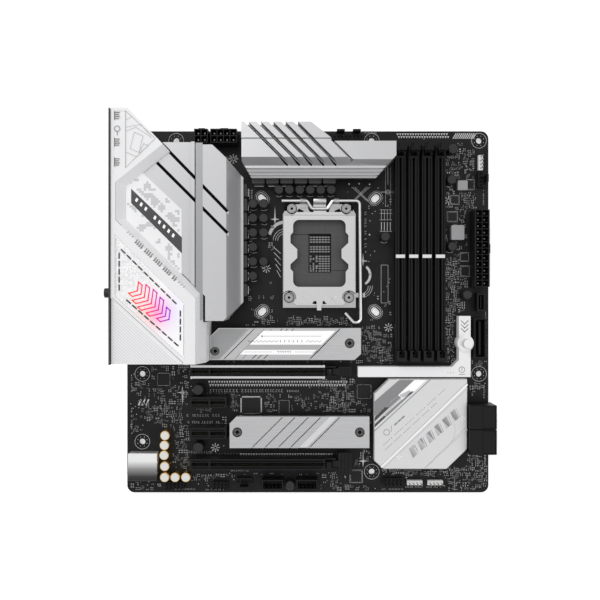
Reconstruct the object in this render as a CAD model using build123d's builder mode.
"""Micro-ATX computer motherboard, built piece by piece as it would come apart on a bench.

Board distances are given as (x, y): x from the rear edge, where the ports are, and y from the
top edge. Heights h are measured up from the component side. The model's own frame has +X from
the rear edge to the front edge, +Y towards the top edge and +Z up, with its origin under the
centre of the bounding box, on the plane that the screw heads under the board stand on.
"""

import os
from math import cos, radians, sin

from build123d import *

os.makedirs("parts", exist_ok=True)

# ---------------------------------------------------------------- driving dimensions, in mm
BOARD_X = 243.84  # rear edge to front edge
BOARD_Y = 243.84  # top edge to bottom edge
BOARD_T = 1.6
BOARD_CORNER_R = 5.0
FOOT_H = 2.2  # screw heads and backplate under the board
GAP = 0.3  # clearance between neighbours that do not touch
FIT = 0.05  # radial clearance of a pin in its hole

STANDOFF_R = 1.98  # mounting holes of the form factor
HOLE_EDGE = 6.35  # top row and front column to their edges
REAR_HOLE_X = 10.16
OFFSET_HOLE_X = 33.02
MIDDLE_HOLE_X = 165.1
SLOT_ROW_Y = 163.83
LOWER_REAR_Y = 209.55
BOTTOM_HOLE_EDGE = 13.97

SOCKET_X, SOCKET_Y = 129.3, 83.5  # centre of the processor socket
COOLER_PITCH_OLD, COOLER_PITCH = 75.0, 78.0
COOLER_HOLE_R = 2.1

COVER_TOP_Y = -4.8  # the rear cover stands proud of the top edge
COVER_END_Y = 153.7
COVER_H = 38.0
COVER_WALL = 2.0
SHIELD_H = 39.7
SHIELD_BELOW = 3.2  # how far the rear shield hangs below the component side
SHIELD_X = -0.9  # outer face of the rear shield
SHIELD_T = 0.6
PORT_FACE_X = -2.2
ANTENNA_REACH = 8.9
ANTENNA_Y = 109.4
SATA_OVERHANG = 1.5  # drive sockets past the front edge

PANEL_H = 31.0  # inner panel of the side heatsink
SIDE_SINK_H = 32.0
TOP_SINK_H = 32.0
SINK_BASE_H = 2.2
CHOKE_H = 9.6
CHOKE_PITCH = 9.4
CHOKE_W = 8.3
CHOKE_L = 10.6
CAP_R, CAP_H = 3.05, 8.0

MEMORY_X, MEMORY_PITCH, MEMORY_COUNT = 183.2, 8.83, 4
MEMORY_W = 6.8
MEMORY_SIDE = MEMORY_X + (MEMORY_COUNT - 1) * MEMORY_PITCH + MEMORY_W / 2  # front face of the bank
MEMORY_BODY_H = 8.0
MEMORY_TOWER_H = 14.0
MEMORY_START_Y, MEMORY_END_Y = 18.2, 147.2
MEMORY_KEY_Y = 84.9
MEMORY_SLOT_W = 1.5
LATCH_W = 3.6

SLOT_X0, SLOT_X1 = 44.2, 133.4  # long expansion slot
SHORT_SLOT_X1 = 68.4
SLOT_PITCH = 20.32
SLOT1_Y = 161.2
SLOT_H = 11.2
SLOT_W = 7.4
SLOT_GROOVE = 1.8
SLOT_KEY_X = 57.0
SLOT_KEY_W = 1.6

SINK_SSD_H = 11.0
SINK_SSD_T = 5.0
CHIPSET_SINK_H = 9.0
HUB_SINK_X0, HUB_SINK_X1 = 165.6, 227.2
SATA_LENGTH = 17.54
POWER_PITCH = 4.2
POWER_H = 12.8

LEVER_Y, LEVER_H, LEVER_R = 47.7, 5.5, 1.2
PLATE_H0, PLATE_T = 6.2, 1.3
FRAME_H0, FRAME_T = 2.6, 1.4

COMPONENT_SIDE = FOOT_H + BOARD_T
ORIGIN_X = (BOARD_X + SATA_OVERHANG - ANTENNA_REACH) / 2
ORIGIN_Y = (BOARD_Y + COVER_TOP_Y) / 2


# ---------------------------------------------------------------- helpers
def at(x, y):
    """Model x, y of a point given by its distances from the rear and top edges."""
    return (x - ORIGIN_X, ORIGIN_Y - y)


def level(h):
    """Plane parallel to the board, h above its component side."""
    return Plane.XY.offset(COMPONENT_SIDE + h)


def slab(xs, ys, hs, mode=Mode.ADD):
    """Box between two x, two y and two h values."""
    mid = at((xs[0] + xs[1]) / 2, (ys[0] + ys[1]) / 2)
    with Locations((*mid, COMPONENT_SIDE + (hs[0] + hs[1]) / 2)):
        Box(abs(xs[1] - xs[0]), abs(ys[1] - ys[0]), hs[1] - hs[0], mode=mode)


def post(x, y, r, hs, mode=Mode.ADD):
    """Upright cylinder."""
    with Locations((*at(x, y), COMPONENT_SIDE + (hs[0] + hs[1]) / 2)):
        Cylinder(r, hs[1] - hs[0], mode=mode)


def bar_x(y, h, r, xs, mode=Mode.ADD):
    """Round bar along x."""
    with Locations((*at((xs[0] + xs[1]) / 2, y), COMPONENT_SIDE + h)):
        Cylinder(r, abs(xs[1] - xs[0]), rotation=(0, 90, 0), mode=mode)


def bar_y(x, h, r, ys, mode=Mode.ADD):
    """Round bar along y."""
    with Locations((*at(x, (ys[0] + ys[1]) / 2), COMPONENT_SIDE + h)):
        Cylinder(r, abs(ys[1] - ys[0]), rotation=(90, 0, 0), mode=mode)


def prism(points, hs, mode=Mode.ADD):
    """Upright prism over an outline of board points."""
    with BuildSketch(level(hs[0])) as outline:
        Polygon(*[at(x, y) for x, y in points], align=None)
    extrude(outline.sketch, amount=hs[1] - hs[0], mode=mode)


def profile_x(points, xs, mode=Mode.ADD):
    """Prism along x over a profile of (y, h) points."""
    x0 = at(min(xs), 0)[0]
    with BuildSketch(Plane.YZ.offset(x0)) as section:
        Polygon(*[(at(0, y)[1], COMPONENT_SIDE + h) for y, h in points], align=None)
    extrude(section.sketch, amount=abs(xs[1] - xs[0]), mode=mode)


def profile_y(points, ys, mode=Mode.ADD):
    """Prism along y over a profile of (x, h) points."""
    y0 = at(0, max(ys))[1]
    with BuildSketch(Plane.XZ.offset(-y0)) as section:
        Polygon(*[(at(x, 0)[0], COMPONENT_SIDE + h) for x, h in points], align=None)
    extrude(section.sketch, amount=-abs(ys[1] - ys[0]), mode=mode)


def groove(a, b, width, hs, mode=Mode.SUBTRACT):
    """Straight groove of a given width between two board points."""
    dx, dy = b[0] - a[0], b[1] - a[1]
    run = (dx * dx + dy * dy) ** 0.5
    nx, ny = -dy / run * width / 2, dx / run * width / 2
    sides = [(a[0] + nx, a[1] + ny), (b[0] + nx, b[1] + ny)]
    sides += [(b[0] - nx, b[1] - ny), (a[0] - nx, a[1] - ny)]
    prism(sides, hs, mode=mode)


def write(builder, name):
    """Labels a finished piece and writes its file."""
    builder.part.label = name
    export_step(builder.part, f"parts/{name}.step")


# ---------------------------------------------------------------- places used by several pieces
STANDOFFS = [
    (OFFSET_HOLE_X, HOLE_EDGE),
    (MIDDLE_HOLE_X, HOLE_EDGE),
    (BOARD_X - HOLE_EDGE, HOLE_EDGE),
    (REAR_HOLE_X, SLOT_ROW_Y),
    (BOARD_X - HOLE_EDGE, SLOT_ROW_Y),
    (REAR_HOLE_X, LOWER_REAR_Y),
    (MIDDLE_HOLE_X, BOARD_Y - BOTTOM_HOLE_EDGE),
]
FRAME_SCREWS = [
    (SOCKET_X + dx, SOCKET_Y + dy)
    for dx, dy in [(-18.2, -30.6), (18.2, -30.6), (-20.0, 28.8), (20.0, 28.8)]
]
SIDE_SINK_SCREWS = [(63.6, 24.0), (63.6, 121.0)]
TOP_SINK_SCREWS = [(83.6, 14.9), (150.0, 18.5)]
CHIPSET_SCREWS = [(HUB_SINK_X1 - 5.36, 171.5), (HUB_SINK_X0 + 5.9, 217.5)]
COVER_SCREWS = [(49.0, 147.5), (22.0, 119.0)]
UNDER_SCREWS = SIDE_SINK_SCREWS + TOP_SINK_SCREWS + CHIPSET_SCREWS + COVER_SCREWS
UNDER_HEAD_R = 3.0
UNDER_SHANK_R = 1.3
UNDER_SHANK_H = 4.0  # into the boss above the board
BOSS_R = 3.0
FRAME_SCREW_R = 1.9
TOP_CHOKES = [(89.0 + i * CHOKE_PITCH, 31.6) for i in range(6)]
SIDE_CHOKES = [(76.2, 41.5 + i * CHOKE_PITCH) for i in range(8)]

# ---------------------------------------------------------------- circuit board
with BuildPart() as board:
    with BuildSketch(Plane.XY.offset(FOOT_H)):
        with Locations(at(BOARD_X / 2, BOARD_Y / 2)):
            RectangleRounded(BOARD_X, BOARD_Y, BOARD_CORNER_R)
        with Locations(*[at(*p) for p in STANDOFFS]):
            Circle(STANDOFF_R, mode=Mode.SUBTRACT)
        with Locations(*[at(*p) for p in FRAME_SCREWS]):
            Circle(FRAME_SCREW_R + GAP, mode=Mode.SUBTRACT)
        with Locations(*[at(*p) for p in UNDER_SCREWS]):
            Circle(UNDER_SHANK_R + GAP, mode=Mode.SUBTRACT)
        slot_mid = (COOLER_PITCH + COOLER_PITCH_OLD) / 4
        slot_run = (COOLER_PITCH - COOLER_PITCH_OLD) / 2 * 2**0.5
        for sx, sy, turn in [(1, 1, 45), (-1, 1, 135), (-1, -1, 45), (1, -1, 135)]:
            with Locations(at(SOCKET_X + sx * slot_mid, SOCKET_Y - sy * slot_mid)):
                SlotCenterToCenter(slot_run, 2 * COOLER_HOLE_R, rotation=turn, mode=Mode.SUBTRACT)
    extrude(amount=BOARD_T)
write(board, "circuit_board")

# ---------------------------------------------------------------- screws that stand under the board
with BuildPart() as under_screws:
    for x, y in UNDER_SCREWS:
        post(x, y, UNDER_HEAD_R, (-COMPONENT_SIDE, -BOARD_T))
        post(x, y, UNDER_SHANK_R, (-BOARD_T, UNDER_SHANK_H))
        with Locations((*at(x, y), 0)):
            Box(4.0, 0.8, 1.6, mode=Mode.SUBTRACT)
            Box(0.8, 4.0, 1.6, mode=Mode.SUBTRACT)
write(under_screws, "heatsink_screws")


def bosses(places, top):
    """Bosses that take the screws from below, with their blind holes."""
    for x, y in places:
        post(x, y, BOSS_R, (0, top))
        post(x, y, UNDER_SHANK_R + 0.2, (0, UNDER_SHANK_H + 0.5), mode=Mode.SUBTRACT)


# ---------------------------------------------------------------- socket backplate
BACKPLATE_X, BACKPLATE_Y = 62.0, 82.0
with BuildPart() as backplate:
    with BuildSketch():
        with Locations(at(SOCKET_X, SOCKET_Y)):
            RectangleRounded(BACKPLATE_X, BACKPLATE_Y, 6.0)
            RectangleRounded(BACKPLATE_X - 34, BACKPLATE_Y - 46, 3.0, mode=Mode.SUBTRACT)
        with Locations(*[at(*p) for p in FRAME_SCREWS]):
            Circle(FRAME_SCREW_R + FIT, mode=Mode.SUBTRACT)
    extrude(amount=FOOT_H)
write(backplate, "socket_backplate")

# ---------------------------------------------------------------- socket housing
HOUSING_X, HOUSING_Y = 41.0, 49.6
CAVITY_X, CAVITY_Y = 14.4, 25.3
CONTACT_H, RIM_H = 2.4, 3.4
with BuildPart() as housing:
    with BuildSketch(level(0)):
        with Locations(at(SOCKET_X, SOCKET_Y)):
            RectangleRounded(HOUSING_X, HOUSING_Y, 1.5)
    extrude(amount=RIM_H)
    with BuildSketch(level(CONTACT_H)):
        with Locations(at(SOCKET_X, SOCKET_Y)):
            RectangleRounded(HOUSING_X - 2.4, HOUSING_Y - 2.4, 1.0)
    extrude(amount=RIM_H - CONTACT_H, mode=Mode.SUBTRACT)
    with BuildSketch(level(0)):
        with Locations(at(SOCKET_X + 0.8, SOCKET_Y - 1.3)):
            Rectangle(CAVITY_X, CAVITY_Y)
    extrude(amount=RIM_H, mode=Mode.SUBTRACT)
write(housing, "socket_housing")

# ---------------------------------------------------------------- load frame of the socket
FRAME_X0, FRAME_X1 = SOCKET_X - 24.1, SOCKET_X + 24.6
FRAME_Y0, FRAME_Y1 = SOCKET_Y - 34.0, SOCKET_Y + 35.6
KNUCKLE_W, KNUCKLE_R = 3.4, 2.1
KNUCKLES = [SOCKET_X - 10.7, SOCKET_X + 11.7]
NECK_X0, NECK_X1 = SOCKET_X - 3.7, SOCKET_X + 4.7  # the plate's hinge curl
FRAME_TOP = FRAME_H0 + FRAME_T
ARM_X = SOCKET_X + 27.6
with BuildPart() as frame:
    with BuildSketch(level(FRAME_H0)):
        outer = [
            (FRAME_X0, FRAME_Y0 + 7),
            (FRAME_X0 + 4, FRAME_Y0),
            (FRAME_X1 - 4, FRAME_Y0),
            (FRAME_X1, FRAME_Y0 + 7),
            (FRAME_X1, FRAME_Y1),
            (FRAME_X0, FRAME_Y1),
        ]
        Polygon(*[at(*p) for p in outer], align=None)
        with Locations(at(SOCKET_X, SOCKET_Y)):
            Rectangle(HOUSING_X + 2 * GAP, HOUSING_Y + 2 * GAP, mode=Mode.SUBTRACT)
        with Locations(at((NECK_X0 + NECK_X1) / 2, FRAME_Y0 + 4)):
            Rectangle(NECK_X1 - NECK_X0 + 4.2, 12.0, mode=Mode.SUBTRACT)
    extrude(amount=FRAME_T)
    for x in (FRAME_X0, FRAME_X1 - 1.2):
        slab((x, x + 1.2), (FRAME_Y0 + 9, FRAME_Y1 - 12), (0.2, FRAME_H0))
    for x, y in FRAME_SCREWS:
        post(x, y, FRAME_SCREW_R + 1.8, (0, FRAME_H0))
    for x in KNUCKLES:
        slab(
            (x - KNUCKLE_W / 2, x + KNUCKLE_W / 2),
            (LEVER_Y - KNUCKLE_R, LEVER_Y + KNUCKLE_R + 2.5),
            (FRAME_H0, LEVER_H - 0.6),
        )
        bar_x(LEVER_Y, LEVER_H, KNUCKLE_R, (x - KNUCKLE_W / 2, x + KNUCKLE_W / 2))
        bar_x(LEVER_Y, LEVER_H, LEVER_R + FIT, (x - 3, x + 3), mode=Mode.SUBTRACT)
    # shelf and stop that the arm of the lever comes down on
    slab((FRAME_X1 - 1, ARM_X + 2.9), (109.2, 112.2), (FRAME_H0, FRAME_TOP))
    slab((ARM_X + 1.7, ARM_X + 2.9), (109.2, 112.2), (FRAME_H0, LEVER_H + 1.6))
    for x, y in FRAME_SCREWS:
        post(x, y, FRAME_SCREW_R + FIT, (0, FRAME_TOP), mode=Mode.SUBTRACT)
write(frame, "socket_frame")

# ---------------------------------------------------------------- frame screws
FRAME_HEAD_R, FRAME_HEAD_H = 3.0, 1.7
with BuildPart() as frame_screws:
    for x, y in FRAME_SCREWS:
        post(x, y, FRAME_SCREW_R, (-COMPONENT_SIDE, FRAME_TOP))
        post(x, y, FRAME_HEAD_R, (FRAME_TOP, FRAME_TOP + FRAME_HEAD_H))
        with BuildSketch(level(FRAME_TOP + 0.6)):
            with Locations(at(x, y)):
                RegularPolygon(1.75, 6)
                RegularPolygon(1.75, 6, rotation=30)
        extrude(amount=FRAME_HEAD_H, mode=Mode.SUBTRACT)
write(frame_screws, "socket_screws")

# ---------------------------------------------------------------- load lever
CRANK = 5.3
HOOK_Y = SOCKET_Y + 45.4
with BuildPart() as lever:
    with BuildLine(level(LEVER_H)) as lever_path:
        FilletPolyline(
            at(FRAME_X0 - 0.7, LEVER_Y),
            at(SOCKET_X - 8.0, LEVER_Y),
            at(SOCKET_X - 4.7, LEVER_Y + CRANK),
            at(SOCKET_X + 5.5, LEVER_Y + CRANK),
            at(SOCKET_X + 8.8, LEVER_Y),
            at(ARM_X - 0.5, LEVER_Y),
            at(ARM_X + 0.2, HOOK_Y),
            at(ARM_X - 4.6, HOOK_Y),
            at(ARM_X - 10.3, HOOK_Y - 6.4),
            radius=[1.5, 1.5, 1.5, 1.5, 2.6, 3.0, 2.6],
        )
    start = lever_path.line @ 0
    with BuildSketch(Plane(origin=start, z_dir=lever_path.line % 0)):
        Circle(LEVER_R)
    sweep(path=lever_path.line)
write(lever, "load_lever")

# ---------------------------------------------------------------- load plate
PLATE_X0, PLATE_X1 = SOCKET_X - 23.4, SOCKET_X + 23.8
PLATE_Y0, PLATE_Y1 = SOCKET_Y - 27.9, SOCKET_Y + 33.9
PLATE_TOP = PLATE_H0 + PLATE_T
CURL_R = 1.9
NECK_H0, NECK_H1 = 2.7, 3.9
WINDOW_Y0, WINDOW_Y1 = SOCKET_Y - 22.8, SOCKET_Y + 21.7
with BuildPart() as plate:
    with BuildSketch(level(PLATE_H0)):
        edge = [
            (PLATE_X0, PLATE_Y0 + 2.5),
            (PLATE_X0 + 6.0, PLATE_Y0 + 2.5),
            (PLATE_X0 + 8.6, PLATE_Y0),
            (PLATE_X1 - 8.6, PLATE_Y0),
            (PLATE_X1 - 6.0, PLATE_Y0 + 2.5),
            (PLATE_X1, PLATE_Y0 + 2.5),
            (PLATE_X1, PLATE_Y1 - 8.2),
            (PLATE_X1 - 8.2, PLATE_Y1),
            (SOCKET_X + 1.6, PLATE_Y1),
            (SOCKET_X + 1.4, PLATE_Y1 + 3.4),
            (SOCKET_X - 1.4, PLATE_Y1 + 3.4),
            (SOCKET_X - 1.6, PLATE_Y1),
            (PLATE_X0 + 8.2, PLATE_Y1),
            (PLATE_X0, PLATE_Y1 - 8.2),
        ]
        Polygon(*[at(*p) for p in edge], align=None)
        half, bulge, finger = 17.45, 19.2, 14.7
        side = [(half, WINDOW_Y0), (half, 77.1), (bulge, 79.1), (bulge, 84.2), (finger, 88.4)]
        side += [(finger, 94.2), (bulge, 98.4), (bulge, 101.4), (half, 103.4), (half, WINDOW_Y1)]
        side = [(dx, y if y in (WINDOW_Y0, WINDOW_Y1) else y - 8.2) for dx, y in side]
        window = [at(SOCKET_X + 0.2 + dx, y) for dx, y in side]
        window += [at(SOCKET_X + 0.2 - dx, y) for dx, y in reversed(side)]
        with BuildSketch(mode=Mode.PRIVATE) as opening:
            Polygon(*window, align=None)
            fillet(opening.vertices().group_by(Axis.Y)[0], radius=4.0)
            fillet(opening.vertices().group_by(Axis.Y)[-1], radius=4.0)
        add(opening.sketch, mode=Mode.SUBTRACT)
        with Locations(*[at(*p) for p in FRAME_SCREWS[2:]]):
            Circle(FRAME_HEAD_R + 1.4, mode=Mode.SUBTRACT)
    extrude(amount=PLATE_T)
    for x in (PLATE_X0, PLATE_X1 - 1.0):
        slab((x, x + 1.0), (PLATE_Y0 + 3.5, PLATE_Y1 - 9.5), (FRAME_TOP + 0.5, PLATE_TOP))
    for dx in (-12.5, -6.0, 6.0, 12.5):
        post(SOCKET_X + dx, PLATE_Y1 - 3.6, 2.6, (PLATE_TOP, PLATE_TOP + 0.5))
    riser = PLATE_Y0 - 0.9
    slab((NECK_X0, NECK_X1), (LEVER_Y, PLATE_Y0 + 0.5), (NECK_H0, NECK_H1))
    slab((NECK_X0, NECK_X1), (riser, PLATE_Y0 + 0.5), (NECK_H0, PLATE_TOP))
    bar_x(LEVER_Y, LEVER_H - 0.6, CURL_R + 0.4, (NECK_X0, NECK_X1))
    bar_x(LEVER_Y, LEVER_H, 0.6, (NECK_X0, NECK_X1), mode=Mode.SUBTRACT)
write(plate, "load_plate")

# ---------------------------------------------------------------- side heatsink of the regulator
SINK_SLOT_W = 2.0
PANEL_H0 = 27.6
with BuildPart() as side_sink:
    block = [
        (57.6, SINK_BASE_H),
        (57.6, PANEL_H0),
        (48.6, PANEL_H0),
        (48.6, 32.8),
        (50.8, 32.8),
        (51.4, 29.6),
        (54.9, 29.6),
        (55.5, SIDE_SINK_H),
        (70.5, SIDE_SINK_H),
        (71.2, 30.6),
        (77.9, 12.4),
        (79.4, 12.4),
        (79.4, CHOKE_H + 1.2),
        (69.6, CHOKE_H + 1.2),
        (69.6, SINK_BASE_H),
    ]
    profile_y(block, (15.0, 127.0))
    panel = [(29.9, 15.0), (35.4, 20.8), (7.7, 43.1), (7.7, 62.8), (48.6, 103.0), (48.6, 15.0)]
    prism(panel, (PANEL_H0, PANEL_H))
    # clearance to the diagonal edge of the cover
    prism([(47.0, 101.6), (57.3, 111.6), (57.3, 128.0), (47.0, 128.0)], (0, 40), mode=Mode.SUBTRACT)
    # corners taken off at the top and bottom
    prism([(61.7, 14.0), (61.7, 16.7), (79.5, 33.6), (85, 33.6), (85, 14.0)], (0, 40), mode=Mode.SUBTRACT)
    prism([(50.8, 14.0), (50.8, 16.7), (63.0, 16.7), (63.0, 14.0)], (0, 40), mode=Mode.SUBTRACT)
    prism([(68.6, 127.1), (79.5, 115.2), (85, 115.2), (85, 127.1)], (0, 40), mode=Mode.SUBTRACT)
    # two diagonal slots across the top
    groove((29.3, 15.3), (73.5, 60.8), SINK_SLOT_W, (PANEL_H - 1.7, 40))
    groove((22.2, 22.9), (73.5, 74.3), SINK_SLOT_W, (PANEL_H - 1.7, 40))
    # airways cut into the flank over the processor side
    for i in range(6):
        slab((57.0, 61.4), (30 + i * 15, 35 + i * 15), (8.0, 24.0), mode=Mode.SUBTRACT)
    bosses(SIDE_SINK_SCREWS, SINK_BASE_H + 4)
write(side_sink, "vrm_heatsink_side")

# ---------------------------------------------------------------- top heatsink of the regulator
TOP_SINK_X0, TOP_SINK_X1 = 79.9, 177.3
with BuildPart() as top_sink:
    fins = [
        (2.3, 11.0),
        (2.3, TOP_SINK_H),
        (12.3, TOP_SINK_H),
        (12.9, TOP_SINK_H - 1.0),
        (24.2, TOP_SINK_H - 1.0),
        (28.4, 24.6),
        (29.8, 24.6),
        (29.8, 20.8),
        (31.4, 20.8),
        (31.4, 17.6),
        (32.9, 17.6),
        (32.9, 14.4),
        (34.2, 14.4),
        (34.2, CHOKE_H + 1.2),
        (25.0, CHOKE_H + 1.2),
        (25.0, SINK_BASE_H),
        (12.0, SINK_BASE_H),
        (12.0, 11.0),
    ]
    profile_x(fins, (TOP_SINK_X0, TOP_SINK_X1))
    # end towards the memory slots is lower and stands back from the board edge
    prism([(123.5, 1.0), (123.5, 2.3), (137.9, 13.7), (180, 13.7), (180, 1.0)], (0, 40), mode=Mode.SUBTRACT)
    far_end = [(136.0, 13.7), (150.6, 28.4), (150.6, 30.0), (180, 30.0), (180, 13.6), (137.8, 13.6)]
    prism(far_end, (TOP_SINK_H - 2.6, 40), mode=Mode.SUBTRACT)
    # corners
    prism([(79.0, 24.8), (85.0, 34.3), (85.0, 36), (79.0, 36)], (0, 40), mode=Mode.SUBTRACT)
    prism([(178, 22.0), (166.0, 34.3), (166.0, 36), (178, 36)], (0, 40), mode=Mode.SUBTRACT)
    for x in (82.8, 90.5, 98.2, 105.9, 113.7):
        groove((x - 1.5, 0.6), (x + 27.0, 29.1), SINK_SLOT_W, (TOP_SINK_H - 8, 40))
    groove((136.4, 12.6), (150.4, 26.6), 1.2, (TOP_SINK_H - 6, 40))
    # airways cut into the flank over the board edge
    for i in range(8):
        slab((98 + i * 9, 103 + i * 9), (11.0, 15.0), (4.0, 9.5), mode=Mode.SUBTRACT)
    bosses(TOP_SINK_SCREWS, SINK_BASE_H + 4)
write(top_sink, "vrm_heatsink_top")

# ---------------------------------------------------------------- power stages, chokes and pads
TOP_STAGES = [(x, 20.6) for x, y in TOP_CHOKES]
SIDE_STAGES = [(65.6, y) for x, y in SIDE_CHOKES]
STAGE_H = 1.0
with BuildPart() as stages:
    for x, y in TOP_STAGES:
        slab((x - 2.5, x + 2.5), (y - 3, y + 3), (0, STAGE_H))
    for x, y in SIDE_STAGES:
        slab((x - 3, x + 3), (y - 2.5, y + 2.5), (0, STAGE_H))
write(stages, "power_stages")

with BuildPart() as chokes:
    for x, y in TOP_CHOKES:
        slab((x - CHOKE_W / 2, x + CHOKE_W / 2), (y - CHOKE_L / 2, y + CHOKE_L / 2), (0, CHOKE_H))
    for x, y in SIDE_CHOKES:
        slab((x - CHOKE_L / 2, x + CHOKE_L / 2), (y - CHOKE_W / 2, y + CHOKE_W / 2), (0, CHOKE_H))
    slab((MEMORY_SIDE + 4.41, MEMORY_SIDE + 13.01), (64.0, 73.8), (0, 6.0))
    slab((MEMORY_SIDE + 9.11, MEMORY_SIDE + 15.71), (33.9, 40.3), (0, 4.0))
    fillet(chokes.edges().filter_by(Axis.Z), radius=0.8)
write(chokes, "power_chokes")

PAD_T = SINK_BASE_H - STAGE_H
with BuildPart() as pads:
    slab((86.0, 139.5), (17.4, 23.8), (STAGE_H, SINK_BASE_H))
    slab((62.4, 68.8), (38.5, 110.5), (STAGE_H, SINK_BASE_H))
    slab((85.6, 140.2), (27.0, 33.6), (CHOKE_H, CHOKE_H + 1.2))
    slab((71.2, 78.8), (38.0, 111.2), (CHOKE_H, CHOKE_H + 1.2))
    slab((186.0, 210.0), (184.0, 208.0), (2.4, 3.4))
    slab((68.0, 138.0), (134.5, 151.5), (SINK_SSD_H - SINK_SSD_T - 1.0, SINK_SSD_H - SINK_SSD_T))
    slab((82.0, 150.0), (192.5, 209.5), (SINK_SSD_H - SINK_SSD_T - 1.0, SINK_SSD_H - SINK_SSD_T))
write(pads, "thermal_pads")

# ---------------------------------------------------------------- rear cover
COVER_X0 = 0.0
SKIN_H = COVER_H - 3.4
LID_H0 = 28.0
NOTCH_RISE = 7.0
with BuildPart() as cover:
    outline = [
        (COVER_X0, COVER_TOP_Y),
        (10.4, COVER_TOP_Y),
        (35.0, 20.8),
        (7.4, 42.9),
        (7.4, 63.1),
        (56.9, 112.0),
        (56.9, COVER_END_Y),
        (COVER_X0, COVER_END_Y),
    ]
    prism(outline, (LID_H0, COVER_H))
    # chamfer around the notch that the heatsink shows through
    with BuildSketch(level(COVER_H - NOTCH_RISE)):
        notch = [(38.0, 18.4), (7.4, 42.9), (7.4, 63.1), (62.0, 117.0), (90.0, 117.0), (90.0, 18.4)]
        Polygon(*[at(*p) for p in notch], align=None)
    extrude(amount=NOTCH_RISE + 0.5, taper=-31, mode=Mode.SUBTRACT)
    # long chamfer over the slots
    bevel = [(52.0, COVER_H + 0.1), (60.0, COVER_H + 0.1), (60.0, 23.0), (56.9, 24.0)]
    profile_y(bevel, (110.0, 156.0), mode=Mode.SUBTRACT)
    # skirts: over the board edge, beside the slots and at the end
    slab((COVER_X0, 10.4), (COVER_TOP_Y, COVER_TOP_Y + COVER_WALL), (0.5, LID_H0))
    slab((56.9 - COVER_WALL, 56.9), (128.0, COVER_END_Y), (1.0, LID_H0))
    slab((18.0, 56.9), (COVER_END_Y - COVER_WALL, COVER_END_Y), (1.0, LID_H0))
    profile_y(bevel, (110.0, 156.0), mode=Mode.SUBTRACT)
    # hollow under the lid
    low = [(COVER_X0 + 2, COVER_TOP_Y + 2), (9.5, COVER_TOP_Y + 2), (31.4, 20.4), (5.4, 41.6)]
    low += [(5.4, 64.0), (54.0, 112.8), (54.0, COVER_END_Y - 2), (COVER_X0 + 2, COVER_END_Y - 2)]
    prism(low, (0, 29.6), mode=Mode.SUBTRACT)
    high = [(COVER_X0 + 2, COVER_TOP_Y + 2), (8.0, COVER_TOP_Y + 2), (24.0, 14.0), (3.0, 32.0)]
    prism(high, (29.6, SKIN_H), mode=Mode.SUBTRACT)
    high = [(2.0, 72.5), (46.0, 116.5), (48.0, 122.0), (48.0, COVER_END_Y - 3), (2.0, COVER_END_Y - 3)]
    prism(high, (29.6, SKIN_H), mode=Mode.SUBTRACT)
    # seat of the badge panel and the lowered corner beside it
    badge_outline = [(2.4, 73.2), (45.6, 116.4), (45.6, 150.4), (2.4, 111.6)]
    prism(badge_outline, (COVER_H - 1.4, COVER_H + 1), mode=Mode.SUBTRACT)
    prism([(-0.1, 112.6), (45.0, 153.8), (-0.1, 153.8)], (COVER_H - 1.2, COVER_H + 1), mode=Mode.SUBTRACT)
    # lowered facet with the line pattern at the top end
    prism([(2.0, -2.6), (9.2, -2.6), (28.0, 16.8), (2.0, 37.6)], (COVER_H - 0.6, COVER_H + 1), mode=Mode.SUBTRACT)
    # bosses for the screws from below
    for x, y in COVER_SCREWS:
        post(x, y, BOSS_R, (0, SKIN_H + 0.5))
        post(x, y, UNDER_SHANK_R + 0.2, (0, UNDER_SHANK_H + 0.5), mode=Mode.SUBTRACT)
write(cover, "rear_cover")

with BuildPart() as badge:
    gap = 0.3
    inner = [(2.4 + gap, 73.2 + 2.4 * gap), (45.6 - gap, 116.4 + 0.4 * gap)]
    inner += [(45.6 - gap, 150.4 - 2.4 * gap), (2.4 + gap, 111.6 - 0.4 * gap)]
    prism(inner, (COVER_H - 1.4, COVER_H - 0.3))
write(badge, "badge_panel")

# ---------------------------------------------------------------- ports on the rear panel
USB_W, USB_STACK_H = 14.4, 15.8
USB_STACKS = [33.5, 51.5, 69.5]
PORT_DEPTH = 17.0
with BuildPart() as usb:
    for y in USB_STACKS:
        slab((PORT_FACE_X, PORT_DEPTH), (y, y + USB_W), (0, USB_STACK_H))
        for h in (1.2, 9.0):
            slab((PORT_FACE_X, 9.0), (y + 0.95, y + USB_W - 0.95), (h, h + 5.4), mode=Mode.SUBTRACT)
            slab((PORT_FACE_X + 0.8, 9.0), (y + 1.7, y + USB_W - 1.7), (h + 2.9, h + 4.7))
write(usb, "usb_ports")

VIDEO_Y0, VIDEO_Y1, VIDEO_H = 11.5, 30.5, 19.0
with BuildPart() as video:
    slab((PORT_FACE_X, PORT_DEPTH), (VIDEO_Y0, VIDEO_Y1), (0, VIDEO_H))
    slab((PORT_FACE_X, 8.0), (VIDEO_Y0 + 2.0, VIDEO_Y1 - 2.0), (2.2, 7.2), mode=Mode.SUBTRACT)
    slab((PORT_FACE_X, 8.0), (VIDEO_Y0 + 1.4, VIDEO_Y1 - 1.4), (11.6, 16.8), mode=Mode.SUBTRACT)
    slab((PORT_FACE_X + 0.8, 8.0), (VIDEO_Y0 + 3.6, VIDEO_Y1 - 3.6), (4.0, 5.2))
    slab((PORT_FACE_X + 0.8, 8.0), (VIDEO_Y0 + 3.2, VIDEO_Y1 - 3.2), (13.6, 14.8))
write(video, "video_ports")

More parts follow.
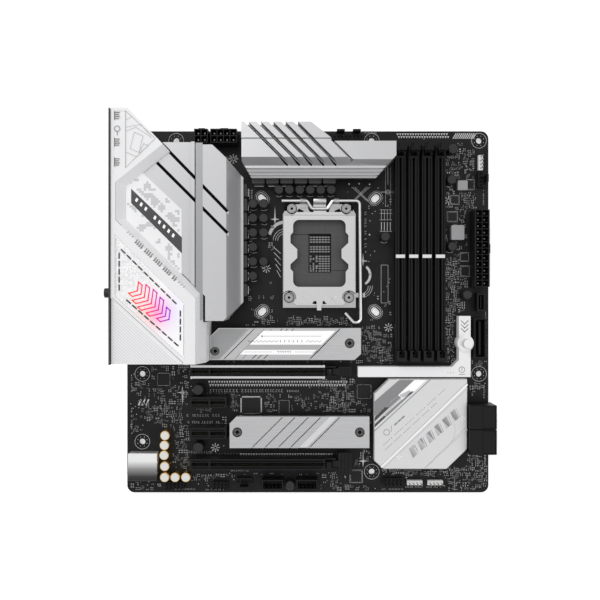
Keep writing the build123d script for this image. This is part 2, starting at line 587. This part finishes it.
LAN_Y0, LAN_Y1, LAN_H = 87.5, 103.8, 13.6
with BuildPart() as lan:
    slab((PORT_FACE_X, 19.0), (LAN_Y0, LAN_Y1), (0, LAN_H))
    mid = (LAN_Y0 + LAN_Y1) / 2
    slab((PORT_FACE_X, 12.0), (mid - 5.9, mid + 5.9), (3.2, 11.4), mode=Mode.SUBTRACT)
    slab((PORT_FACE_X, 12.0), (mid - 3.1, mid + 3.1), (1.0, 3.2), mode=Mode.SUBTRACT)
write(lan, "ethernet_jack")

AUDIO_Y0, AUDIO_PITCH_Y, AUDIO_PITCH_H = 122.6, 12.4, 10.0
AUDIO_BARREL_R, AUDIO_HOLE_R = 3.5, 1.8
JACKS = [(i, j) for i in range(2) for j in range(3) if (i, j) != (1, 0)]
AUDIO_CELLS = [
    (AUDIO_Y0 + (i + 0.5) * AUDIO_PITCH_Y, (j + 0.5) * AUDIO_PITCH_H, (i, j) in JACKS)
    for i in range(2)
    for j in range(3)
]
with BuildPart() as audio:
    slab((0.2, 13.0), (AUDIO_Y0, AUDIO_Y0 + 2 * AUDIO_PITCH_Y), (0, 3 * AUDIO_PITCH_H - 2.4))
    for y, h, round_one in AUDIO_CELLS:
        h = h - 0.8
        if round_one:
            bar_x(y, h, AUDIO_BARREL_R, (PORT_FACE_X - 0.8, 0.2))
            bar_x(y, h, AUDIO_HOLE_R, (PORT_FACE_X - 0.8, 10.0), mode=Mode.SUBTRACT)
        else:
            slab((PORT_FACE_X, 0.2), (y - 4.6, y + 4.6), (h - 4.0, h + 4.6))
            slab((PORT_FACE_X, 1.4), (y - 3.0, y + 3.0), (h - 2.6, h + 3.2), mode=Mode.SUBTRACT)
write(audio, "audio_jacks")

WIFI_Y0, WIFI_Y1, WIFI_H = 104.6, 114.4, 27.0
ANTENNA_H = [8.0, 20.0]
ANTENNA_R, ANTENNA_NUT_R = 3.1, 4.2
with BuildPart() as wifi:
    slab((0.6, 17.6), (WIFI_Y0, WIFI_Y1), (0, WIFI_H))
    for h in ANTENNA_H:
        bar_x(ANTENNA_Y, h, ANTENNA_R + FIT, (0.6, 3.6), mode=Mode.SUBTRACT)
    slab((16.4, 17.6), (WIFI_Y0 + 1.2, WIFI_Y1 - 1.2), (2.0, WIFI_H - 2.0), mode=Mode.SUBTRACT)
write(wifi, "wifi_module")

with BuildPart() as antennas:
    for h in ANTENNA_H:
        bar_x(ANTENNA_Y, h, ANTENNA_R, (-ANTENNA_REACH, 3.6))
        with BuildSketch(Plane.YZ.offset(at(SHIELD_X - 1.7, 0)[0])):
            with Locations((at(0, ANTENNA_Y)[1], COMPONENT_SIDE + h)):
                RegularPolygon(ANTENNA_NUT_R, 6)
        extrude(amount=1.6)
        bar_x(ANTENNA_Y, h, 2.2, (-ANTENNA_REACH, -3.0), mode=Mode.SUBTRACT)
        bar_x(ANTENNA_Y, h, 0.6, (-ANTENNA_REACH + 1.0, -3.0))
write(antennas, "antenna_connectors")

BUTTON_Y, BUTTON_H, BUTTON_R, BUTTON_TRAVEL = 5.0, 7.0, 2.3, 1.0
with BuildPart() as flash_switch:
    slab((4.4, 12.0), (BUTTON_Y - 3.2, BUTTON_Y + 3.2), (0, BUTTON_H + 3.2))
    bar_x(BUTTON_Y, BUTTON_H, 1.3 + FIT, (4.4, 8.0), mode=Mode.SUBTRACT)
write(flash_switch, "flashback_switch")

with BuildPart() as flash_button:
    bar_x(BUTTON_Y, BUTTON_H, BUTTON_R, (PORT_FACE_X - 0.6, 0.4))
    bar_x(BUTTON_Y, BUTTON_H, BUTTON_R + 1.0, (0.0, 0.9))
    bar_x(BUTTON_Y, BUTTON_H, 1.3, (0.9, 6.6))
write(flash_button, "flashback_button")

# ---------------------------------------------------------------- rear shield
SHIELD_Y0, SHIELD_Y1 = -4.2, 153.8
with BuildPart() as shield:
    slab((SHIELD_X, SHIELD_X + SHIELD_T), (SHIELD_Y0, SHIELD_Y1), (-SHIELD_BELOW, SHIELD_H))
    slab((SHIELD_X, -GAP), (SHIELD_Y0, SHIELD_Y1), (-SHIELD_BELOW, -BOARD_T - GAP))
    through = (SHIELD_X - 1, SHIELD_X + 1.2)
    for y in USB_STACKS:
        slab(through, (y - GAP, y + USB_W + GAP), (-GAP, USB_STACK_H + GAP), mode=Mode.SUBTRACT)
    slab(through, (VIDEO_Y0 - GAP, VIDEO_Y1 + GAP), (-GAP, VIDEO_H + GAP), mode=Mode.SUBTRACT)
    slab(through, (LAN_Y0 - GAP, LAN_Y1 + GAP), (-GAP, LAN_H + GAP), mode=Mode.SUBTRACT)
    for y, h, round_one in AUDIO_CELLS:
        if round_one:
            bar_x(y, h - 0.8, AUDIO_BARREL_R + GAP, through, mode=Mode.SUBTRACT)
        else:
            slab(through, (y - 4.6 - GAP, y + 4.6 + GAP), (h - 4.8 - GAP, h + 3.8 + GAP), mode=Mode.SUBTRACT)
    for h in ANTENNA_H:
        bar_x(ANTENNA_Y, h, ANTENNA_R + FIT, through, mode=Mode.SUBTRACT)
    bar_x(BUTTON_Y, BUTTON_H, BUTTON_R + FIT, through, mode=Mode.SUBTRACT)
    # small vents above the ports
    for i in range(22):
        slab(through, (8 + i * 4.4, 10.6 + i * 4.4), (23.5, 25.7), mode=Mode.SUBTRACT)
        slab(through, (8 + i * 4.4, 10.6 + i * 4.4), (30.5, 32.7), mode=Mode.SUBTRACT)
write(shield, "rear_shield")

# ---------------------------------------------------------------- coin cell under the cover
CELL_X, CELL_Y, CELL_R, CELL_T = 36.0, 133.0, 10.0, 3.2
with BuildPart() as cell:
    post(CELL_X, CELL_Y, CELL_R + 1.6, (0, 1.4))
    post(CELL_X, CELL_Y, CELL_R, (1.4, 1.4 + CELL_T))
    post(CELL_X, CELL_Y, CELL_R - 1.2, (1.4 + CELL_T, 1.7 + CELL_T))
write(cell, "cmos_battery")

# ---------------------------------------------------------------- power sockets
EPS_Y0, EPS_ROWS = 1.6, 2
EPS_4_X0, EPS_8_X0 = 47.2, 57.8
EPS_DEPTH = 9.2
ATX_X0, ATX_Y0, ATX_COUNT = 231.2, 54.5, 12
ATX_W = 9.8
PIN_W = 0.9
PINS = []


def socket_cells(x0, y0, nx, ny):
    """Centres of the cells of a power socket whose corner cell starts at x0, y0."""
    return [
        (x0 + (i + 0.5) * POWER_PITCH, y0 + (j + 0.5) * POWER_PITCH)
        for i in range(nx)
        for j in range(ny)
    ]


def pockets(cells):
    """Square pockets of the cells, open upwards."""
    with BuildSketch(level(POWER_H)) as squares:
        with Locations(*[at(*c) for c in cells]):
            Rectangle(3.5, 3.5)
    extrude(squares.sketch, amount=2.0 - POWER_H, mode=Mode.SUBTRACT)


EPS_4_CELLS = socket_cells(EPS_4_X0 + 0.3, EPS_Y0 + 0.4, 2, EPS_ROWS)
EPS_8_CELLS = socket_cells(EPS_8_X0 + 0.3, EPS_Y0 + 0.4, 4, EPS_ROWS)
ATX_CELLS = socket_cells(ATX_X0 + 0.7, ATX_Y0 + 0.2, 2, ATX_COUNT)
with BuildPart() as eps:
    slab((EPS_4_X0, EPS_4_X0 + 9.0), (EPS_Y0, EPS_Y0 + EPS_DEPTH), (0, POWER_H))
    slab((EPS_8_X0, EPS_8_X0 + 17.4), (EPS_Y0, EPS_Y0 + EPS_DEPTH), (0, POWER_H))
    slab((EPS_4_X0 + 2.5, EPS_4_X0 + 6.5), (EPS_Y0 - 1.2, EPS_Y0), (0, POWER_H - 3))
    slab((EPS_8_X0 + 6.0, EPS_8_X0 + 11.4), (EPS_Y0 - 1.2, EPS_Y0), (0, POWER_H - 3))
    pockets(EPS_4_CELLS + EPS_8_CELLS)
write(eps, "cpu_power_sockets")

with BuildPart() as atx:
    slab((ATX_X0, ATX_X0 + ATX_W), (ATX_Y0, ATX_Y0 + ATX_COUNT * POWER_PITCH + 0.4), (0, POWER_H))
    slab((ATX_X0 + ATX_W, ATX_X0 + ATX_W + 1.3), (77.0, 83.0), (0, POWER_H - 3))
    pockets(ATX_CELLS)
write(atx, "main_power_socket")

with BuildPart() as pins:
    with BuildSketch(level(2.0)):
        with Locations(*[at(*c) for c in EPS_4_CELLS + EPS_8_CELLS + ATX_CELLS]):
            Rectangle(PIN_W, PIN_W)
    extrude(amount=8.0)
write(pins, "power_pins")

# ---------------------------------------------------------------- memory slots and their latches
CHEEK_T = 1.2
LATCH_PIVOT_Y, LATCH_PIVOT_H, LATCH_PIVOT_R = 14.6, 3.2, 1.0
TOWER_W = 7.4


def memory_slot(x):
    """Body with card groove, open cheeks for the latch and a fixed tower at the other end."""
    half = MEMORY_W / 2
    slab((x - half, x + half), (MEMORY_START_Y, MEMORY_END_Y), (0, MEMORY_BODY_H))
    slab((x - half, x + half), (MEMORY_END_Y, 154.3), (0, MEMORY_TOWER_H))
    for side in (-1, 1):
        cheek = sorted([x + side * half, x + side * (half - CHEEK_T)])
        slab(cheek, (10.9, MEMORY_START_Y + 0.1), (0, 9.0))
    slab((x - half, x + half), (10.9, MEMORY_START_Y + 0.1), (0, 0.6))
    bar_x(LATCH_PIVOT_Y, LATCH_PIVOT_H, LATCH_PIVOT_R, (x - half, x + half))
    groove_w = MEMORY_SLOT_W / 2
    slab((x - groove_w, x + groove_w), (MEMORY_START_Y + 1.5, 150.0), (2.4, 20), mode=Mode.SUBTRACT)
    slab((x - 3, x + 3), (MEMORY_KEY_Y - 1.1, MEMORY_KEY_Y + 1.1), (4.0, 9), mode=Mode.SUBTRACT)
    slab((x - 1.7, x + 1.7), (147.8, 151.6), (9.0, 20), mode=Mode.SUBTRACT)
    for side in (-1, 1):
        rib = sorted([x + side * 1.9, x + side * 2.5])
        slab(rib, (MEMORY_START_Y + 2, MEMORY_END_Y - 1), (6.9, 9), mode=Mode.SUBTRACT)


def memory_latch(x):
    """Latch with its thumb pad, drilled for the pivot."""
    x0 = at(x - LATCH_W / 2, 0)[0]
    shape = [(12.5, 1.5), (17.2, 1.5), (17.4, 9.0), (17.4, 12.4), (16.0, 14.2), (16.0, 16.6)]
    shape += [(11.6, 18.6), (11.2, 16.9), (13.2, 15.2), (13.2, 9.0)]
    with BuildSketch(Plane.YZ.offset(x0)) as section:
        Polygon(*[(at(0, y)[1], COMPONENT_SIDE + h) for y, h in shape], align=None)
        with Locations((at(0, LATCH_PIVOT_Y)[1], COMPONENT_SIDE + LATCH_PIVOT_H)):
            Circle(LATCH_PIVOT_R + FIT, mode=Mode.SUBTRACT)
    extrude(section.sketch, amount=LATCH_W)
    slab((x - 2.9, x + 2.9), (11.4, 16.4), (13.6, 16.2))
    groove_w = MEMORY_SLOT_W / 2
    slab((x - groove_w, x + groove_w), (16.2, 18), (4.6, 13.0), mode=Mode.SUBTRACT)


MEMORY_XS = [MEMORY_X + i * MEMORY_PITCH for i in range(MEMORY_COUNT)]

with BuildPart() as memory_1:
    memory_slot(MEMORY_XS[0])
write(memory_1, "memory_slot_1")
with BuildPart() as memory_2:
    memory_slot(MEMORY_XS[1])
write(memory_2, "memory_slot_2")
with BuildPart() as memory_3:
    memory_slot(MEMORY_XS[2])
write(memory_3, "memory_slot_3")
with BuildPart() as memory_4:
    memory_slot(MEMORY_XS[3])
write(memory_4, "memory_slot_4")
with BuildPart() as latch_1:
    memory_latch(MEMORY_XS[0])
write(latch_1, "memory_latch_1")
with BuildPart() as latch_2:
    memory_latch(MEMORY_XS[1])
write(latch_2, "memory_latch_2")
with BuildPart() as latch_3:
    memory_latch(MEMORY_XS[2])
write(latch_3, "memory_latch_3")
with BuildPart() as latch_4:
    memory_latch(MEMORY_XS[3])
write(latch_4, "memory_latch_4")

with BuildPart() as keys:
    for x in MEMORY_XS:
        slab((x - 3, x + 3), (MEMORY_KEY_Y - 1.1, MEMORY_KEY_Y + 1.1), (4.0, MEMORY_BODY_H + 0.1))
write(keys, "memory_slot_keys")

# ---------------------------------------------------------------- expansion slots
SLOT_YS = [SLOT1_Y + i * SLOT_PITCH for i in range(4)]
SLOT_WALL_IN = 4.0  # depth of the card groove's floor above the board
LATCH_X = 137.6
SLOT_LATCH_H, SLOT_LATCH_R = 3.9, 1.0


def slot_body(y, x1):
    """Connector body with its card groove and key."""
    half = SLOT_W / 2
    slab((SLOT_X0, x1), (y - half, y + half), (0, SLOT_H))
    groove_w = SLOT_GROOVE / 2
    slab((SLOT_X0 + 1.2, x1 - 1.2), (y - groove_w, y + groove_w), (SLOT_WALL_IN, 20), mode=Mode.SUBTRACT)
    for side in (-1, 1):
        row = sorted([y + side * 1.6, y + side * 2.6])
        slab((SLOT_X0 + 2, x1 - 2), row, (SLOT_H - 1.2, 20), mode=Mode.SUBTRACT)
    slab((SLOT_KEY_X - SLOT_KEY_W / 2, SLOT_KEY_X + SLOT_KEY_W / 2), (y - 3, y + 3), (2.0, SLOT_H))


def slot_cheeks(y):
    """Cheeks and pivot bar that hold the latch at the front end of a long slot."""
    half = SLOT_W / 2
    for side in (-1, 1):
        cheek = sorted([y + side * half, y + side * (half - CHEEK_T)])
        slab((SLOT_X1 - 0.1, 140.4), cheek, (0, 9.4))
    slab((SLOT_X1 - 0.1, 140.4), (y - half, y + half), (0, 0.7))
    bar_y(LATCH_X, SLOT_LATCH_H, SLOT_LATCH_R, (y - half, y + half))


def slot_latch(y, paddle):
    """Hook over the card edge and the paddle that frees it."""
    y_low = at(0, y + 2.0)[1]
    shape = [(134.4, 4.6), (134.0, 13.2), (137.0, 14.0), (138.4, 9.6), (150.6, 8.8), (150.9, 7.2)]
    shape += [(140.8, 6.6), (139.4, 1.9), (136.0, 1.9)]
    with BuildSketch(Plane.XZ.offset(-y_low)) as section:
        Polygon(*[(at(x, 0)[0], COMPONENT_SIDE + h) for x, h in shape], align=None)
        with Locations((at(LATCH_X, 0)[0], COMPONENT_SIDE + SLOT_LATCH_H)):
            Circle(SLOT_LATCH_R + FIT, mode=Mode.SUBTRACT)
    extrude(section.sketch, amount=-4.0)
    slab((142.0, 150.8), (y - paddle / 2, y + paddle / 2), (7.3, 9.0))
    for x in (143.4, 145.6, 147.8):
        slab((x, x + 0.9), (y - paddle / 2 + 1, y + paddle / 2 - 1), (8.5, 10), mode=Mode.SUBTRACT)


with BuildPart() as graphics:
    slot_body(SLOT_YS[0], SLOT_X1)
    slot_cheeks(SLOT_YS[0])
write(graphics, "graphics_slot")

ARMOUR_T = 0.6
with BuildPart() as armour:
    half = SLOT_W / 2
    for side in (-1, 1):
        y = SLOT_YS[0] + side * half
        strip = sorted([y, y + side * ARMOUR_T])
        slab((SLOT_X0 + 0.4, SLOT_X1 - 0.4), strip, (0.4, SLOT_H))
        rim = sorted([y - side * 0.8, y + side * ARMOUR_T])
        slab((SLOT_X0 + 0.4, SLOT_X1 - 0.4), rim, (SLOT_H, SLOT_H + 0.4))
        for x in (SLOT_X0 + 1.2, SLOT_X1 - 1.2):
            post(x, y + side * 0.1, 0.8, (SLOT_H, SLOT_H + 0.8))
write(armour, "graphics_slot_armour")

with BuildPart() as graphics_latch:
    slot_latch(SLOT_YS[0], 6.4)
write(graphics_latch, "graphics_slot_latch")

with BuildPart() as short_slots:
    slot_body(SLOT_YS[1], SHORT_SLOT_X1)
    slot_body(SLOT_YS[2], SHORT_SLOT_X1)
write(short_slots, "expansion_slots_x1")

with BuildPart() as long_slot:
    slot_body(SLOT_YS[3], SLOT_X1)
    slot_cheeks(SLOT_YS[3])
write(long_slot, "expansion_slot_x16")

with BuildPart() as long_latch:
    slot_latch(SLOT_YS[3], 14.4)
write(long_latch, "expansion_slot_latch")

# ---------------------------------------------------------------- release for the graphics slot
DUCT_H = 7.0
DUCT_T = 1.2
RELEASE_X, RELEASE_Y = 226.1, 142.5
RELEASE_RING_R, RELEASE_RING_H = 5.4, 9.2
RELEASE_CAP_R, RELEASE_CAP_TOP = 3.0, 16.0
RELEASE_TRAVEL = 4.0
FLANGE_R, FLANGE_H0, FLANGE_H1 = 3.9, 5.0, 6.4


def duct_outline(d):
    """Outline of the cable cover, drawn in by d."""
    return [
        (155.2 + d, 158.3 + d),
        (217.7 + d * 0.6, 158.3 + d),
        (222.2 + d, 153.9 + d * 0.6),
        (222.2 + d, 124.6 + d),
        (230.0 - d, 124.6 + d),
        (230.0 - d, 165.1 - d),
        (155.2 + d, 165.1 - d),
    ]


with BuildPart() as duct:
    prism(duct_outline(0), (GAP, DUCT_H))
    prism(duct_outline(DUCT_T), (GAP, DUCT_H - DUCT_T), mode=Mode.SUBTRACT)
    post(RELEASE_X, RELEASE_Y, RELEASE_RING_R, (GAP, RELEASE_RING_H))
    post(RELEASE_X, RELEASE_Y, RELEASE_CAP_R + FIT, (GAP, RELEASE_RING_H + 1), mode=Mode.SUBTRACT)
    post(RELEASE_X, RELEASE_Y, FLANGE_R + 0.2, (GAP, FLANGE_H1 + 0.2), mode=Mode.SUBTRACT)
    for i in range(3):
        tip = 130.0 + i * 2.6
        groove((RELEASE_X - 2.4, tip - 2.4), (RELEASE_X + 0.25, tip + 0.25), 0.7, (DUCT_H - 0.4, 20))
        groove((RELEASE_X + 2.4, tip - 2.4), (RELEASE_X - 0.25, tip + 0.25), 0.7, (DUCT_H - 0.4, 20))
    # feet that it stands on
    for x, y in [(157.4, 160.5), (190.0, 161.7), (227.8, 163.0), (226.1, 126.8)]:
        post(x, y, 1.6, (0, DUCT_H - DUCT_T + 0.2))
write(duct, "slot_release_cover")

with BuildPart() as release:
    post(RELEASE_X, RELEASE_Y, FLANGE_R, (FLANGE_H0, FLANGE_H1))
    post(RELEASE_X, RELEASE_Y, RELEASE_CAP_R, (FLANGE_H0, RELEASE_CAP_TOP))
    fillet(release.edges().group_by(Axis.Z)[-1], radius=0.7)
write(release, "slot_release_button")

# ---------------------------------------------------------------- drive heatsinks
SSD_TOP, SSD_BASE = SINK_SSD_H, SINK_SSD_H - SINK_SSD_T
SSD_UPPER_SCREWS = [(60.8, 147.6), (149.3, 142.4)]
SSD_LOWER_SCREWS = [(75.3, 201.0), (156.0, 201.0)]
SSD_HEAD_R, SSD_HEAD_H, SSD_SHANK_R = 3.0, 1.9, 1.2
SSD_PEDESTAL_R = 2.6


def ssd_sink(outline, screws):
    """Bar of the given outline with stepped screw seats and bosses under them."""
    prism(outline, (SSD_BASE, SSD_TOP))
    for x, y in screws:
        post(x, y, SSD_PEDESTAL_R, (0, SSD_BASE))
        post(x, y, SSD_HEAD_R + 0.25, (SSD_TOP - SSD_HEAD_H - 0.3, SSD_TOP), mode=Mode.SUBTRACT)
        post(x, y, SSD_SHANK_R + FIT, (1.0, SSD_TOP), mode=Mode.SUBTRACT)


with BuildPart() as ssd_upper:
    shape = [(57.5, 153.4), (57.5, 137.8), (63.0, 132.4), (156.8, 132.4), (156.8, 149.5), (152.5, 153.4)]
    ssd_sink(shape, SSD_UPPER_SCREWS)
    for x in (66.0, 84.5, 88.0, 92.0):
        groove((x - 1.4, 154.8), (x + 22.4, 131.0), 0.7, (SSD_TOP - 0.6, SSD_TOP + 1))
    groove((121.2, 154.8), (145.0, 131.0), 0.9, (SSD_TOP - 0.6, SSD_TOP + 1))
    prism([(94.4, 151.6), (112.0, 134.0), (141.2, 134.0), (123.6, 151.6)], (SSD_TOP, SSD_TOP + 0.35))
    prism([(124.8, 153.4), (145.8, 132.4), (147.2, 132.4), (126.2, 153.4)], (SSD_TOP, SSD_TOP + 0.5))
write(ssd_upper, "ssd_heatsink_upper")

with BuildPart() as ssd_lower:
    shape = [(70.3, 211.4), (70.3, 195.2), (74.8, 190.6), (162.3, 190.6), (162.3, 211.4)]
    ssd_sink(shape, SSD_LOWER_SCREWS)
    for x in (84.8, 93.2, 101.9, 110.0, 122.6):
        groove((x - 1.4, 212.8), (x + 22.6, 188.8), 0.7, (SSD_TOP - 0.6, SSD_TOP + 1))
    prism([(115.2, 211.4), (136.0, 190.6), (142.0, 190.6), (121.2, 211.4)], (SSD_TOP - 0.5, SSD_TOP + 1), mode=Mode.SUBTRACT)
write(ssd_lower, "ssd_heatsink_lower")

with BuildPart() as ssd_screws:
    for x, y in SSD_UPPER_SCREWS + SSD_LOWER_SCREWS:
        head = SSD_TOP - SSD_HEAD_H - 0.3
        post(x, y, SSD_HEAD_R, (head, head + SSD_HEAD_H))
        post(x, y, SSD_SHANK_R, (1.2, head))
        with Locations((*at(x, y), COMPONENT_SIDE + head + SSD_HEAD_H)):
            Box(3.6, 0.8, 1.8, mode=Mode.SUBTRACT)
            Box(0.8, 3.6, 1.8, mode=Mode.SUBTRACT)
write(ssd_screws, "ssd_heatsink_screws")

CARD_H = 2.6  # height of the drive card over the board
SSD_POST_R = 1.0
SSD_POSTS = [(144.6, 136.5), (150.4, 206.6)]
with BuildPart() as ssd_sockets:
    for x, y in [(65.6, 143.0), (79.6, 201.0)]:
        slab((x, x + 6.4), (y - 10.2, y + 10.2), (0, 4.2))
        slab((x + 2.4, x + 6.4), (y - 9.4, y + 9.4), (CARD_H, CARD_H + 1.0), mode=Mode.SUBTRACT)
    for x, y in SSD_POSTS:
        post(x, y, 2.3, (0, CARD_H + 0.8))
        post(x, y, SSD_POST_R, (0, CARD_H + 2.3))
write(ssd_sockets, "ssd_connectors")


def card_latch(x, y):
    """Turning cam on its post, over the edge of a drive card when it points at the socket."""
    with BuildSketch(level(CARD_H + 1.2)) as cam:
        with Locations(at(x, y)):
            Circle(2.3)
        with Locations(at(x - 2.4, y)):
            Rectangle(4.8, 3.0)
        with Locations(at(x, y)):
            Circle(SSD_POST_R + FIT, mode=Mode.SUBTRACT)
    extrude(cam.sketch, amount=1.0)


with BuildPart() as card_latch_1:
    card_latch(*SSD_POSTS[0])
write(card_latch_1, "ssd_latch_upper")
with BuildPart() as card_latch_2:
    card_latch(*SSD_POSTS[1])
write(card_latch_2, "ssd_latch_lower")

# ---------------------------------------------------------------- heatsink of the platform hub
CHIPSET_BASE = 3.4
with BuildPart() as chipset_sink:
    shape = [(HUB_SINK_X0, 176.1), (HUB_SINK_X0 + 10.2, 166.3), (HUB_SINK_X1, 166.3)]
    shape += [(HUB_SINK_X1, 212.5), (HUB_SINK_X1 - 13.6, 225.7)]
    shape += [(HUB_SINK_X0 + 6.2, 225.7), (HUB_SINK_X0, 220.1)]
    prism(shape, (CHIPSET_BASE, CHIPSET_SINK_H))
    chamfer(chipset_sink.faces().sort_by(Axis.Z)[-1].edges(), length=0.5)
    # diagonal bands
    for a, b, w, d in [
        ((163.0, 194.4), (197.0, 160.4), 1.6, 0.6),
        ((163.0, 198.9), (201.5, 160.4), 0.7, 0.6),
        ((163.0, 186.0), (189.0, 160.4), 5.0, 0.25),
        ((195.5, 229.0), (231.0, 193.5), 0.5, 0.4),
        ((167.8, 226.0), (229.0, 166.6), 0.5, 0.4),
    ]:
        groove(a, b, w, (CHIPSET_SINK_H - d, CHIPSET_SINK_H + 1))
    for x, y in CHIPSET_SCREWS:
        post(x, y, BOSS_R, (0, CHIPSET_BASE + 2.4))
        post(x, y, UNDER_SHANK_R + 0.2, (0, UNDER_SHANK_H + 0.5), mode=Mode.SUBTRACT)
write(chipset_sink, "chipset_heatsink")

# ---------------------------------------------------------------- drive sockets on the front edge
SATA_X1 = BOARD_X + SATA_OVERHANG
SATA_X0 = SATA_X1 - SATA_LENGTH
SATA_BLOCKS = [(182.9, 198.6), (198.9, 215.2)]
SATA_H = 14.0
with BuildPart() as sata:
    for y0, y1 in SATA_BLOCKS:
        slab((SATA_X0, SATA_X1), (y0, y1), (0, SATA_H))
        slab((SATA_X0 + 8.4, SATA_X1 - 0.8), (y0 + 0.8, y1 - 0.8), (SATA_H - 0.4, 20), mode=Mode.SUBTRACT)
        for h in (1.2, 7.6):
            slab((SATA_X1 - 6.4, SATA_X1), (y0 + 1.4, y1 - 1.4), (h, h + 5.0), mode=Mode.SUBTRACT)
            slab((SATA_X1 - 6.4, SATA_X1 - 0.6), (y0 + 2.8, y1 - 3.8), (h + 1.9, h + 3.1))
write(sata, "sata_sockets")

# ---------------------------------------------------------------- audio corner
with BuildPart() as can:
    slab((2.0, 21.5), (216.0, 234.5), (0, 6.0))
    fillet(can.edges().filter_by(Axis.Z), radius=0.8)
    chamfer(can.faces().sort_by(Axis.Z)[-1].edges(), length=0.3)
    slab((2.4, 21.1), (216.4, 234.1), (0, 5.6), mode=Mode.SUBTRACT)
write(can, "audio_shield")

AUDIO_CAPS = [(27.0, 203.9), (26.6, 210.4), (26.4, 217.0), (26.8, 224.3)]
AUDIO_CAPS += [(26.8, 231.6), (33.7, 231.6), (40.8, 231.6)]
with BuildPart() as gold_caps:
    for x, y in AUDIO_CAPS:
        post(x, y, CAP_R, (0, CAP_H - 0.4))
        post(x, y, CAP_R - 0.5, (CAP_H - 0.4, CAP_H))
write(gold_caps, "audio_capacitors")

# ---------------------------------------------------------------- polymer capacitors
CAPS = [(102.6 + i * 6.95, 40.6) for i in range(6)]
CAPS += [(85.3, 49.9 + i * 9.6) for i in range(6)]
CAPS += [(92.4, 49.9 + i * 9.6) for i in (0, 1, 2, 4)]
CAPS += [(MEMORY_SIDE + 5.01, 13.8), (MEMORY_SIDE + 4.31, 34.0), (MEMORY_SIDE + 4.81, 78.4)]
CAPS += [(173.3, 71.8), (227.7, 110.4)]
CAPS += [(110.0, 237.0)]
BIG_CAPS = [(49.0, 173.6), (49.0, 211.9)]
with BuildPart() as caps:
    for x, y in CAPS:
        post(x, y, CAP_R, (0, CAP_H))
    for x, y in BIG_CAPS:
        post(x, y, 3.5, (0, CAP_H))
    chamfer(caps.faces().filter_by(Axis.Z).group_by(Axis.Z)[-1].edges(), length=0.4)
write(caps, "polymer_capacitors")

# ---------------------------------------------------------------- headers
HEADER_PITCH, HEADER_PIN = 2.54, 0.64
HEADER_TOP = 8.4
BOXED = [((91.5, 105.4), (233.0, 239.6)), ((114.3, 128.2), (233.0, 239.6))]
FRONT_USB = ((232.0, 239.6), (126.0, 152.4))
FAN_X = [(138.5, 148.6), (149.1, 159.2)]


def header_pins(x0, y0, nx, ny):
    """Square pins on the header pitch from a first pin."""
    for i in range(nx):
        for j in range(ny):
            x, y = x0 + i * HEADER_PITCH, y0 + j * HEADER_PITCH
            half = HEADER_PIN / 2
            slab((x - half, x + half), (y - half, y + half), (1.0, HEADER_TOP))


with BuildPart() as headers:
    for xs, ys in BOXED:
        slab(xs, ys, (0, 8.8))
        slab((xs[0] + 0.8, xs[1] - 0.8), (ys[0] + 0.8, ys[1] - 0.8), (1.2, 20), mode=Mode.SUBTRACT)
        header_pins(xs[0] + 1.9, ys[0] + 2.0, 5, 2)
    slab(*FRONT_USB, (0, 8.8))
    slab((232.8, 238.8), (126.8, 151.6), (1.2, 20), mode=Mode.SUBTRACT)
    slab((235.2, 236.4), (128.2, 150.2), (1.0, 7.6))
    slab((239.4, 240.2), (136.0, 142.4), (0, 8.8))
    for xs in FAN_X:
        slab(xs, (1.8, 6.6), (0, 3.2))
        slab((xs[0] + 2.6, xs[1] - 2.4), (1.0, 2.2), (0, 10.0))
        header_pins(xs[0] + 1.24, 4.6, 4, 1)
    slab((235.8, 240.4), (28.2, 38.3), (0, 3.2))
    slab((239.9, 241.2), (30.8, 35.8), (0, 10.0))
    header_pins(237.6, 29.4, 1, 4)
    slab((74.2, 84.3), (233.2, 237.8), (0, 3.2))
    slab((76.8, 82.0), (237.4, 238.6), (0, 10.0))
    header_pins(75.4, 235.2, 4, 1)
    slab((26.2, 39.0), (236.0, 240.8), (0, 2.5))
    header_pins(27.5, 237.2, 5, 2)
    slab((58.0, 68.2), (236.0, 240.8), (0, 2.5))
    header_pins(59.3, 237.2, 4, 2)
    slab((172.5, 185.2), (233.4, 238.2), (0, 2.5))
    header_pins(173.8, 234.6, 5, 2)
write(headers, "pin_headers")

with BuildPart() as type_c:
    slab((234.4, 239.8), (109.4, 121.4), (0, 6.6))
    slab((235.4, 238.8), (110.6, 120.2), (1.4, 20), mode=Mode.SUBTRACT)
    slab((236.8, 237.4), (111.4, 119.4), (1.2, 5.8))
write(type_c, "front_usb_socket")

with BuildPart() as light_headers:
    for xs in [(188.6, 198.8), (202.4, 212.6)]:
        slab(xs, (235.2, 238.2), (0, 2.6))
        header_pins(xs[0] + 1.3, 236.7, 4, 1)
    slab((236.4, 239.4), (16.6, 26.8), (0, 2.6))
    header_pins(237.9, 17.9, 1, 4)
write(light_headers, "lighting_headers")

# ---------------------------------------------------------------- controller chips
CHIPS = [
    (83.7, 184.9, 12.6, 10.2, 1.5),
    (105.9, 186.6, 6.6, 9.6, 1.0),
    (159.9, 175.8, 9.0, 9.0, 1.0),
    (24.6, 167.5, 8.0, 8.0, 1.0),
    (MEMORY_SIDE + 6.41, 57.7, 5.6, 5.6, 1.0),
    (MEMORY_SIDE + 7.91, 46.3, 4.8, 4.8, 1.0),
    (227.6, 84.9, 4.4, 4.6, 1.0),
    (227.9, 94.5, 4.6, 6.0, 1.0),
    (MEMORY_SIDE + 18.51, 36.0, 4.0, 5.6, 1.0),
    (154.5, 233.0, 7.0, 7.0, 1.0),
]
with BuildPart() as chips:
    for x, y, w, d, t in CHIPS:
        slab((x - w / 2, x + w / 2), (y - d / 2, y + d / 2), (0, t))
    # platform hub: its carrier and the bare chip on it
    slab((183.5, 212.5), (183.0, 209.0), (0, 1.2))
    slab((192.0, 204.0), (190.0, 202.0), (1.2, 2.4))
write(chips, "controller_chips")
